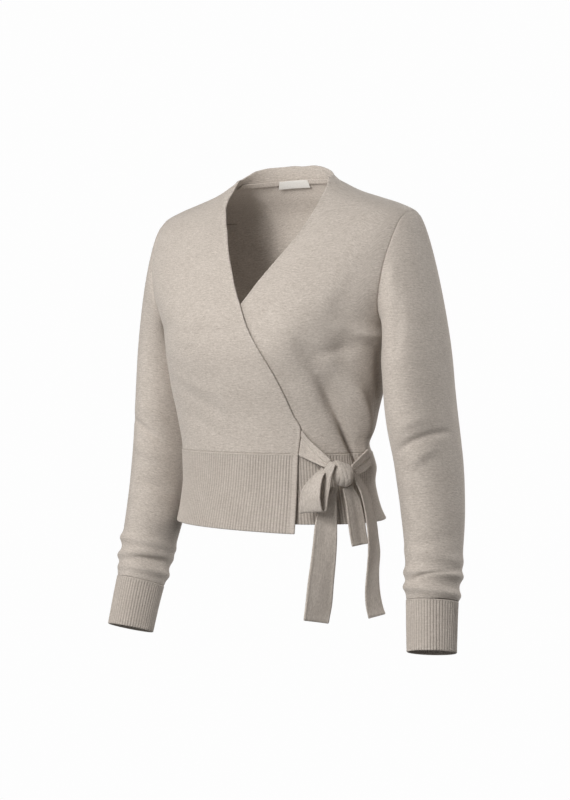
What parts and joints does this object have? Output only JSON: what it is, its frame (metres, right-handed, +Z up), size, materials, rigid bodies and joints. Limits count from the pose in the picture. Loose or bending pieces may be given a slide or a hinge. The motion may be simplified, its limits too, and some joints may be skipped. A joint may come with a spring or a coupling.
{
  "type": "knit wrap cardigan",
  "caption": "Cropped long-sleeved knit wrap cardigan with ribbed waist and cuffs, tied in a bow at the side, in worn hollow form.",
  "frame": {"origin": "centre of the neck base, level with the neck ends of the shoulder seams, where the wearer's neck and shoulders hold the garment", "axes": "+Z up, +X towards the wearer's left, -Y towards the front"},
  "size_m": [0.492, 0.2215, 0.6255],
  "materials": {
    "knit": "fine-gauge heather oatmeal jersey, matt",
    "rib": "fine rib in the same yarn, matt",
    "label_tape": "pale woven tape, blank"
  },
  "bodies": {
    "root": {"right_front": "knit", "left_front": "knit", "back": "knit", "right_edge_band": "knit", "left_edge_band": "knit", "neckband": "knit", "neck_tape": "knit", "label": "label_tape", "left_sleeve": "knit", "right_sleeve": "knit", "left_cuff": "rib", "right_cuff": "rib", "right_front_hem": "rib", "left_front_hem": "rib", "back_hem": "rib", "tie_right": "knit", "tie_left": "knit", "knot": "knit", "loop": "knit", "short_end": "knit", "tail_left": "knit", "tail_right": "knit"}
  },
  "joints": []
}
